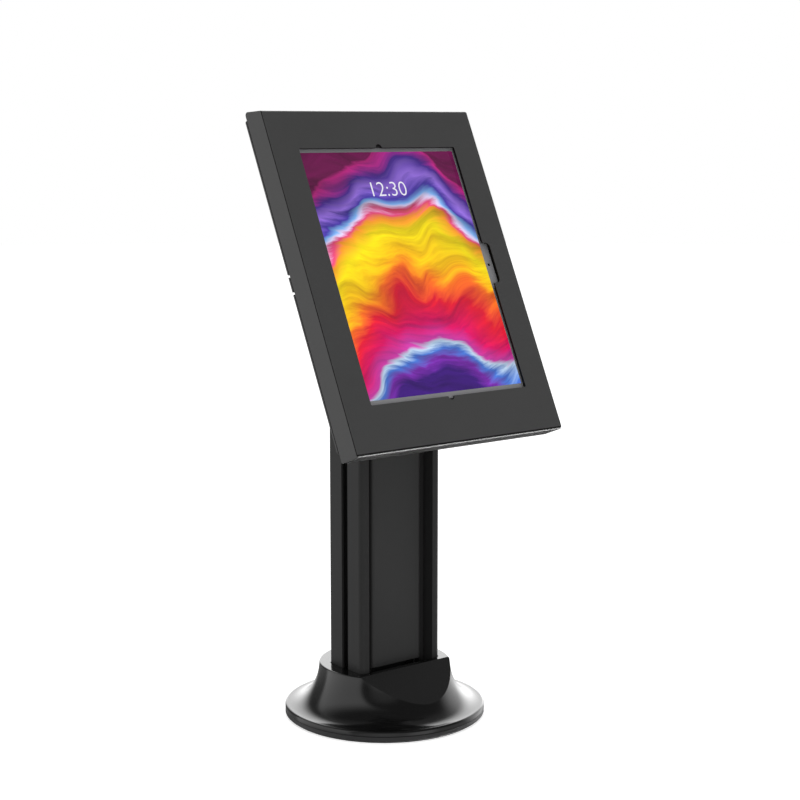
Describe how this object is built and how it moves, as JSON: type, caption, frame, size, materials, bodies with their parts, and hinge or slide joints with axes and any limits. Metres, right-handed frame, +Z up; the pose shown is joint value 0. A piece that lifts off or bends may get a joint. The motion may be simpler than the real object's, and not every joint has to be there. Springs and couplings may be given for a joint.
{
  "type": "desktop tablet stand",
  "caption": "Countertop tablet kiosk: round bell-covered base, slotted column with cable channels, and a leaning lockable sheet-steel enclosure.",
  "frame": {"origin": "middle of the round base on the desk", "axes": "+Z up, -Y the front that the screen faces, +X to the right of someone facing +Y"},
  "size_m": [0.207, 0.1819, 0.4938],
  "materials": {
    "rubber": "matt",
    "foam": "matt foam",
    "steel": "satin black coat",
    "gloss_cover": "satin gloss",
    "anodised": "black anodised",
    "panel": "satin",
    "moulded": "matt",
    "screws": "zinc plated",
    "black_screws": "black oxide",
    "coated_sheet": "fine matt powder coat",
    "tablet_metal": "blasted",
    "tablet_glass": "gloss",
    "lens": "gloss",
    "lock": "polished"
  },
  "bodies": {
    "stand": {"base_pad": "rubber", "base_plate": "steel", "column": "anodised", "column_screws": "screws", "front_panel": "panel", "rear_panel": "panel", "column_cap": "moulded", "cap_screws": "screws", "head_bracket": "steel", "slot_nuts": "screws", "side_screws": "black_screws", "plate_screws": "screws", "rear_tray": "coated_sheet", "cable_grommet": "rubber", "corner_holders": "moulded", "holder_screws": "screws", "back_foam": "foam", "tablet_shell": "tablet_metal", "tablet_glass": "tablet_glass", "tablet_lens": "lens", "lock_body": "lock", "lock_nut": "screws"},
    "base_cover": {"base_cover": "gloss_cover"},
    "front_cover": {"front_cover": "coated_sheet", "cover_catch": "steel", "cover_gasket": "foam"},
    "lock": {"lock_plug": "lock", "lock_cam": "screws", "cam_screw": "screws"}
  },
  "joints": [
    {"name": "cover_swing", "type": "hinge", "parent": "stand", "child": "front_cover", "pos_m": [0, 0.03957, 0.49019], "axis": [-1, 0, 0], "range_deg": [0, 60]},
    {"name": "lock_turn", "type": "hinge", "parent": "stand", "child": "lock", "pos_m": [0.048, -0.07017, 0.25315], "axis": [0, -0.9026, 0.4305], "range_deg": [0, 90]},
    {"name": "base_cover_lift", "type": "slide", "parent": "stand", "child": "base_cover", "axis": [0, 0, 1], "range_m": [0, 0.15]}
  ]
}
